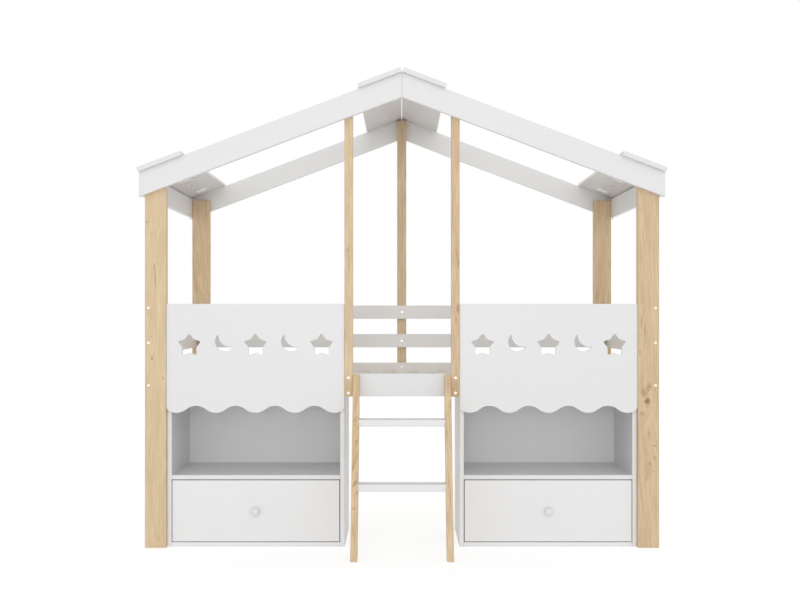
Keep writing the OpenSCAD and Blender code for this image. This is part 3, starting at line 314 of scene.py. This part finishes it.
def wood(name, turn, centre, mean, pitch=0.0, rough=0.48, lines=0.2, lean=0.0, spread=1.0, knots_and_shade=()):
    """Planed solid wood: soft clouds, short streaks, thin dark grain lines, fine fibres, knot marks and broad
    dark patches, some of them painted shade.

    Lines, lean and spread are those of BOARDS. A knot is a row of KNOTS_AND_SHADE, with its place measured
    across and along the board from the board's middle."""
    t = Tree(bpy.data.materials.new(name))
    own, shift = grain_place(t, turn, centre, pitch)
    place = t.vector("ADD", own, shift)
    sway = t.vector("SUBTRACT", t.noise(place, *SWAY, "Color"), (0.5, 0.5, 0.5))
    sway = t.vector("MULTIPLY", sway, SWAY_REACH)
    run_out = t.sideways(t.math("MULTIPLY", t.axis(own, "Z"), lean))
    place = t.vector("ADD", t.vector("ADD", place, run_out), sway)
    marks = []
    for across, up, width, length, depth, slant in knots_and_shade:
        off = t.vector("SUBTRACT", own, (across, 0.0, up))
        if slant:
            off = t.vector("SUBTRACT", off, t.sideways(t.math("MULTIPLY", t.axis(off, "Z"), slant)))
        off = t.vector("MULTIPLY", off, (1.0 / width, 0.0, 1.0 / length))
        ragged = t.math("SUBTRACT", t.noise(own, *KNOT_RIM), 0.5)
        reach = t.math("ADD", t.vector("LENGTH", off), t.math("MULTIPLY", ragged, RIM_RAGGED))
        marks.append((reach, depth))
        if width < WIDE_MARK:
            near = t.math("SUBTRACT", 1.0, t.math("DIVIDE", reach, BEND_REACH), True)
            bend = t.math("MULTIPLY", t.math("POWER", near, 2.0), BEND * width)
            place = t.vector("SUBTRACT", place, t.vector("MULTIPLY", off, t.sideways(bend)))
    cloud = t.noise(place, *WOOD_CLOUD)
    streak = t.noise(place, *WOOD_STREAK)
    fibre = t.noise(place, *WOOD_FIBRE)
    line = t.noise(place, *WOOD_LINE)
    light = scaled(mean, tuple(1.0 + spread * c for c in TONE_SPREAD))
    dark = scaled(mean, tuple(1.0 - spread * c for c in TONE_SPREAD))
    level = t.math("ADD", t.math("MULTIPLY", cloud, CLOUD_SHARE), t.math("MULTIPLY", streak, STREAK_SHARE))
    level = t.math("ADD", level, t.math("MULTIPLY", fibre, FIBRE_SHARE))
    level = t.math("SUBTRACT", level, DARK_END, True)
    thin = t.math("MULTIPLY", t.math("SUBTRACT", line, LINE_FROM, True), LINE_SHARPNESS, True)
    thin = t.math("MULTIPLY", thin, lines)
    colour = t.mix(thin, t.mix(level, dark, light), scaled(mean, LINE_TONE))
    for reach, depth in marks:
        halo = t.ramp(reach, [(place_in, depth * part) for place_in, part in HALO])
        colour = t.mix(halo, colour, KNOT_HEART if depth > HEART_FROM else KNOT_STAIN_AND_SHADE)
    sheen = t.math("ADD", t.math("MULTIPLY", fibre, FIBRE_SHEEN), rough - FIBRE_SHEEN / 2)
    height = t.math("SUBTRACT", fibre, t.math("MULTIPLY", thin, LINE_DEPTH))
    normal = eased_normal(t, height, *WOOD_RELIEF)
    return t.finish(t.add("BsdfPrincipled", {"Base Color": colour, "Roughness": sheen, "IOR": WOOD_IOR,
                                             "Specular IOR Level": WOOD_SPECULAR, "Normal": normal}))


def lacquer(name, turn, tone=1.0, edge=None, seam=False):
    """Satin white lacquer on solid board, with a hint of the grain below and a fine roller texture.

    The board's tone lightens, darkens or warms all of it, and its front edges may have a lighter tone of
    their own:
    both are painted light and shade. A seam is the closed mitre between two boards, a thin dark line where
    they meet at x = 0."""
    t = Tree(bpy.data.materials.new(name))
    place = turned(t, t.object_place(), turn)
    cloud = t.noise(place, *COAT_CLOUD)
    grain = t.noise(place, *COAT_GRAIN)
    peel = t.noise(place, *COAT_PEEL)
    shade = t.math("ADD", t.math("MULTIPLY", cloud, CLOUD_SHOWS), t.math("MULTIPLY", grain, GRAIN_SHOWS))
    # Painted light and shade: the whole board's tone, then the lighter tone of its front edges
    coat_and_painted_light = scaled(LACQUER, tone)
    if edge:
        way = t.axis(t.add("TexCoord").outputs["Normal"], "Y")
        coat_and_painted_light = t.mix(t.math("LESS_THAN", way, FRONT_FACING), coat_and_painted_light, scaled(LACQUER, edge))
    colour = t.mix(shade, coat_and_painted_light, scaled(LACQUER, COAT_SHADE))
    if seam:
        x = t.math("ABSOLUTE", t.axis(t.object_place(), "X"))
        colour = t.mix(t.math("LESS_THAN", x, SEAM), colour, scaled(LACQUER, SEAM_TONE))
    sheen = t.math("ADD", t.math("MULTIPLY", cloud, CLOUD_SHEEN), COAT_ROUGH)
    height = t.math("ADD", t.math("MULTIPLY", grain, 0.5), t.math("MULTIPLY", peel, 0.5))
    normal = eased_normal(t, height, *COAT_RELIEF)
    return t.finish(t.add("BsdfPrincipled", {"Base Color": colour, "Roughness": sheen, "IOR": COAT_IOR,
                                             "Specular IOR Level": COAT_SPECULAR, "Normal": normal}))


def steel(name, colour, rough, capped=False):
    """Zinc-plated steel with a mottled sheen.

    When capped, the heads on the front panels are white and those on the rear rails brighter."""
    t = Tree(bpy.data.materials.new(name))
    place = t.object_place()
    mottle = t.noise(place, *STEEL_MOTTLE)
    colour = t.mix(t.math("MULTIPLY", mottle, MOTTLE_SHOWS), colour, scaled(colour, MOTTLE_TONE))
    sheen = t.math("ADD", t.math("MULTIPLY", mottle, MOTTLE_SHEEN), rough)
    normal = eased_normal(t, mottle, *STEEL_RELIEF)
    metal = 1.0
    if capped:
        at_rear = t.math("GREATER_THAN", t.axis(place, "Y"), 0.0)
        colour = t.mix(at_rear, colour, BRIGHT_STEEL)
        sheen = t.math("SUBTRACT", sheen, t.math("MULTIPLY", at_rear, REAR_SHEEN))
        x = t.math("ABSOLUTE", t.axis(place, "X"))
        inner, outer = t.math("GREATER_THAN", x, PANELS_FROM), t.math("LESS_THAN", x, PANELS_TO)
        on_panel = t.math("MULTIPLY", inner, outer)
        colour = t.mix(on_panel, colour, CAP)
        metal = t.math("SUBTRACT", 1.0, on_panel)
    return t.finish(t.add("BsdfPrincipled", {"Base Color": colour, "Metallic": metal, "Roughness": sheen,
                                             "Normal": normal}))


def solid_wood(name):
    """The natural wood of one post or stringer."""
    tone, lean, lines, spread = BOARDS[name]
    turn = ON_LADDER if "stringer" in name else ALONG_Z
    low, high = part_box(name)
    centre = tuple((low + high) / 2)
    knots_and_shade = tuple((x - centre[0], z - centre[2], *rest) for x, z, *rest in KNOTS_AND_SHADE.get(name, ()))
    return wood("natural_wood_" + name, turn, centre, scaled(WOOD, tone), lines=lines, lean=lean,
                spread=spread, knots_and_shade=knots_and_shade)


slat_wood = wood("slat_wood_y", ALONG_Y, (0.0, 0.0, SLATS_Z), PINE, pitch=SLAT_PITCH, rough=PINE_ROUGH)
ledger_wood = wood("slat_wood_x", ALONG_X, (0.0, 0.0, LEDGERS_Z), PINE, rough=PINE_ROUGH)
runner_wood = wood("slat_wood_runner", ALONG_Y, (0.0, 0.0, RUNNERS_Z), PINE, rough=RUNNER_ROUGH)
ply_wood = wood("plywood_face", ALONG_X, (0.0, 0.0, BOTTOMS_Z), PLY, rough=PLY_ROUGH)
zinc = steel("zinc_steel_head", STEEL, ZINC_ROUGH)
bright_zinc = steel("zinc_steel_bright", BRIGHT_STEEL, BRIGHT_ROUGH)
capped_zinc = steel("zinc_steel_capped", STEEL, ZINC_ROUGH, True)

# What every other node wears: the first row whose word is in the node's name. A white board's row gives the
# way of its grain, its tone, the tone of its front edges, and whether it has a seam. The tones are painted
# light
# and shade on one white lacquer: painted shade darkens the roof boards, the front side rail, the rear guard
# rails, and the shelves and sides inside the cabinets; painted light brightens the drawer fronts, treads,
# cabinet backs and bottoms, fascias, rear rafters and the front edges of shelves, sides and roof boards; and
# the guard rails and the rear side rail are tinted warm by painted light thrown back from the wood.
WEARS = (
    ("bed_slats", slat_wood),
    ("ledger", ledger_wood),
    ("runner", runner_wood),
    ("drawer_left_bottom", ply_wood),
    ("drawer_right_bottom", ply_wood),
    ("front_bolts", capped_zinc),
    ("joint_screws", bright_zinc),
    ("bolts", zinc),
    ("nuts", zinc),
    ("screws", zinc),
    ("fixings", zinc),
    ("end_rail", (ALONG_Y, 1.0)),
    ("left_guard", (ALONG_Y, (1.03, 1.0, 0.96))),
    ("right_guard", (ALONG_Y, (1.04, 1.01, 0.97))),
    ("rear_guard", (ALONG_X, (0.975, 0.96, 0.95))),
    ("rear_side_rail", (ALONG_X, (1.0, 0.975, 0.95))),
    ("front_side_rail", (ALONG_X, 0.965)),
    ("ridge_board", (ALONG_Y, (0.90, 0.884, 0.882), 0.984)),
    ("eave_board", (ALONG_Y, (0.926, 0.909, 0.897), 0.986)),
    ("eave_fascia", (ALONG_Y, (1.036, 1.03, 1.022))),
    ("rafter_rear", (ALONG_X, (1.038, 1.038, 1.029))),
    ("rafter_front", (ALONG_X, 1.003, None, True)),
    ("panel", (ALONG_X, 1.004)),
    ("drawer_left_front", (ALONG_X, 1.063)),
    ("drawer_right_front", (ALONG_X, 1.061)),
    ("ladder_treads", (ALONG_X, 1.037)),
    ("cabinet_left_bottom", (ALONG_X, 1.068)),
    ("cabinet_right_bottom", (ALONG_X, 1.068)),
    ("shelf", (ALONG_X, 0.965, 1.015)),
    ("cabinet_right_sides", (ALONG_Z, 0.952, 1.065)),
    ("sides", (ALONG_Z, 0.962, 1.057)),
    ("back", (ALONG_Z, 1.044)),
    ("", (ALONG_X, 1.0)),
)
whites = {}
for name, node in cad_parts.items():
    if name in BOARDS:
        material = solid_wood(name)
    else:
        material = next(m for word, m in WEARS if word in name)
    if isinstance(material, tuple):
        if material not in whites:
            whites[material] = lacquer(f"white_lacquer_{len(whites)}", *material)
        material = whites[material]
    node.data.materials.clear()
    node.data.materials.append(material)


def open_rays(tree):
    """1 for the rays that see plain white around the bed: the camera's own and those in gloss and glass."""
    rays = tree.add("LightPath").outputs
    either = tree.math("MAXIMUM", rays["Is Camera Ray"], rays["Is Glossy Ray"])
    return tree.math("MAXIMUM", either, rays["Is Transmission Ray"])


def put(name, data, place, turn):
    """Brings a lamp or the camera into the scene."""
    thing = bpy.data.objects.new(name, data)
    thing.location = place
    thing.rotation_euler = turn
    bpy.context.scene.collection.objects.link(thing)
    return thing


# Floor: white to the camera with a faint trace of the bed's shadow, plain white board to all other light
bpy.ops.mesh.primitive_plane_add(size=FLOOR_SIZE, location=(0.0, 0.0, 0.0))
floor = bpy.context.object
floor.name = "studio_floor"
f = Tree(bpy.data.materials.new("studio_floor"))
white_board = f.add("BsdfDiffuse", {"Color": grey(FLOOR_WHITE)})
lift = f.add("Emission", {"Strength": FLOOR_GLOW})
plain = f.add("AddShader", {0: white_board.outputs[0], 1: lift.outputs[0]})
glow = f.add("Emission", {"Color": grey(1.0), "Strength": SEEN_GLOW})
shadow = f.add("BsdfDiffuse", {"Color": grey(SEEN_SHADOW)})
seen = f.add("AddShader", {0: glow.outputs[0], 1: shadow.outputs[0]})
both = f.add("MixShader", {0: open_rays(f), 1: plain.outputs[0], 2: seen.outputs[0]})
floor.data.materials.append(f.finish(both))

# Sky: a white dome for the light, pure white where the camera looks past the bed
sky = Tree(bpy.data.worlds.new("studio_sky"))
bpy.context.scene.world = sky.owner
way = sky.add("TexCoord").outputs["Generated"]
strength = DOME
for direction, share in LOBES:
    towards = sky.math("MAXIMUM", sky.vector("DOT_PRODUCT", way, direction))
    strength = sky.math("ADD", sky.math("MULTIPLY", towards, share), strength)
dome = sky.add("Background", {"Color": grey(1.0), "Strength": strength})
white = sky.add("Background", {"Color": grey(1.0)})
both = sky.add("MixShader", {0: open_rays(sky), 1: dome.outputs[0], 2: white.outputs[0]})
sky.finish(both, "OutputWorld")

for place, power in LAMPS:
    lamp = bpy.data.lights.new("soft_lamp", "AREA")
    lamp.shape = "DISK"
    lamp.size = LAMP_SIZE
    lamp.energy = power
    put("soft_lamp", lamp, place, (Vector(LAMP_TO) - Vector(place)).to_track_quat("-Z", "Y").to_euler())

camera = bpy.data.cameras.new("camera")
camera.lens = LENS
camera.sensor_width = SENSOR
camera.shift_x = SHIFT_X
camera.shift_y = SHIFT_Y
bpy.context.scene.camera = put("camera", camera, EYE, (math.pi / 2, 0.0, 0.0))

bpy.context.scene.view_settings.view_transform = "Standard"
